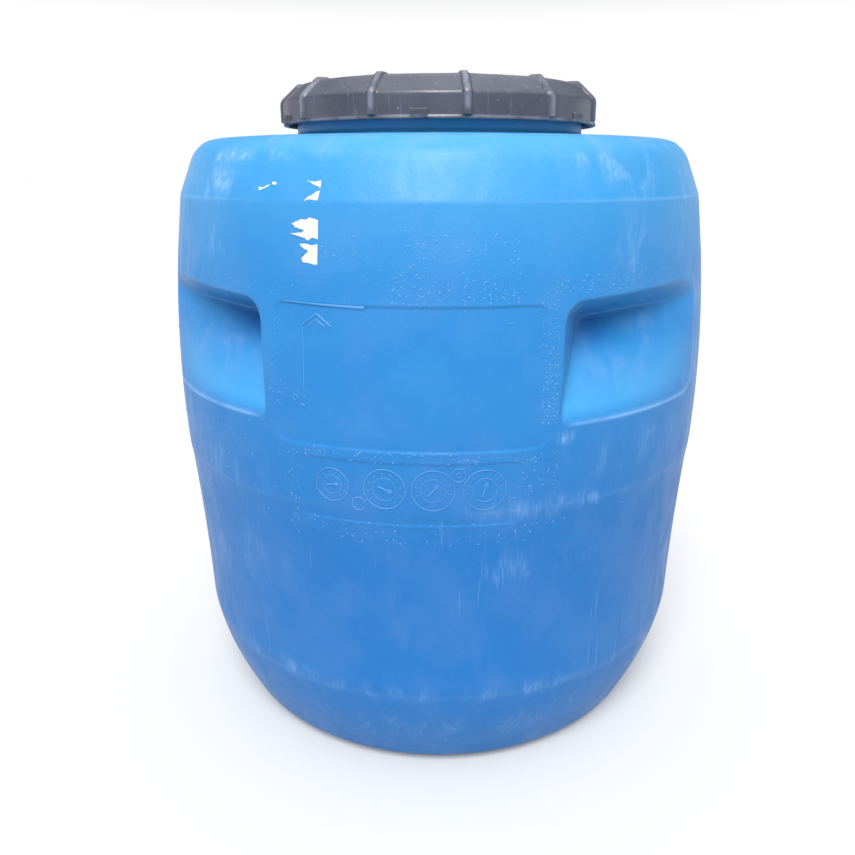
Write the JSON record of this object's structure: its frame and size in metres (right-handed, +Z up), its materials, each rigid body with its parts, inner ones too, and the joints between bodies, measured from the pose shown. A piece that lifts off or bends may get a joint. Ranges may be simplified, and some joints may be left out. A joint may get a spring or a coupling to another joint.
{
  "type": "plastic open head drum",
  "caption": "Wide-mouth blow-moulded plastic drum with recessed hand grips, a ribbed screw lid, a seal ring and a press-in inner lid.",
  "frame": {"origin": "centre of the foot ring, on the floor", "axes": "+Z up along the drum's axis, -Y towards the label panel, between the two front hand grips"},
  "size_m": [0.6055, 0.6058, 0.695],
  "materials": {
    "blue_hdpe": "satin moulded, scuffed",
    "black_lid": "satin moulded, worn ribs",
    "seal_rubber": "matt",
    "natural_plastic": "satin, slightly translucent",
    "label_paper": "torn matt paper"
  },
  "bodies": {
    "drum": {"drum_body": "blue_hdpe", "label_remains": "label_paper"},
    "seal": {"lid_gasket": "seal_rubber"},
    "lid": {"screw_lid": "black_lid"},
    "inner_lid": {"inner_lid": "natural_plastic"}
  },
  "joints": [
    {"name": "lid_lift", "type": "slide", "parent": "drum", "child": "seal", "axis": [0, 0, 1], "range_m": [0, 0.072]},
    {"name": "lid_turn", "type": "hinge", "parent": "seal", "child": "lid", "pos_m": [0, 0, 0.65], "axis": [0, 0, 1], "range_deg": [0, 2160]},
    {"name": "inner_lid_lift", "type": "slide", "parent": "drum", "child": "inner_lid", "axis": [0, 0, 1], "range_m": [0, 0.0288]}
  ],
  "couplings": [
    {"joint": "lid_lift", "follows": "lid_turn", "m_per_rad": 0.0019099},
    {"joint": "inner_lid_lift", "follows": "lid_turn", "m_per_rad": 0.00076394}
  ]
}
